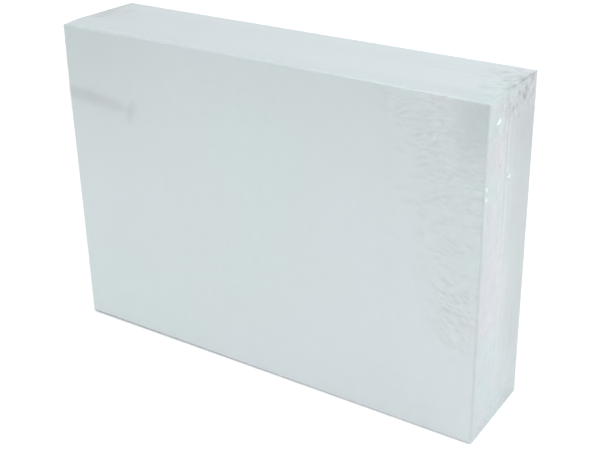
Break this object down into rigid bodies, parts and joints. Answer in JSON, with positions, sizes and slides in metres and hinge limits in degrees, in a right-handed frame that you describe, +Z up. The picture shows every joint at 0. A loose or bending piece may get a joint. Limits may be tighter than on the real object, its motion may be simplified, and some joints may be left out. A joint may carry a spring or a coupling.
{
  "type": "ream of paper",
  "caption": "Ream of white A4 paper in clear shrink film, standing on its long edge, with a film weld and tucked ear on each end and a field of creases beside one end.",
  "frame": {"origin": "middle of the rest face, the wrapped long edge that the ream stands on", "axes": "+X along the sheets' long side, -Y out of the front sheet, +Z up along the sheets' short side"},
  "size_m": [0.2994, 0.0662, 0.2107],
  "materials": {
    "paper": "matte",
    "clear_film": "gloss"
  },
  "bodies": {
    "root": {"paper_stack": "paper", "shrink_film": "clear_film"}
  },
  "joints": []
}
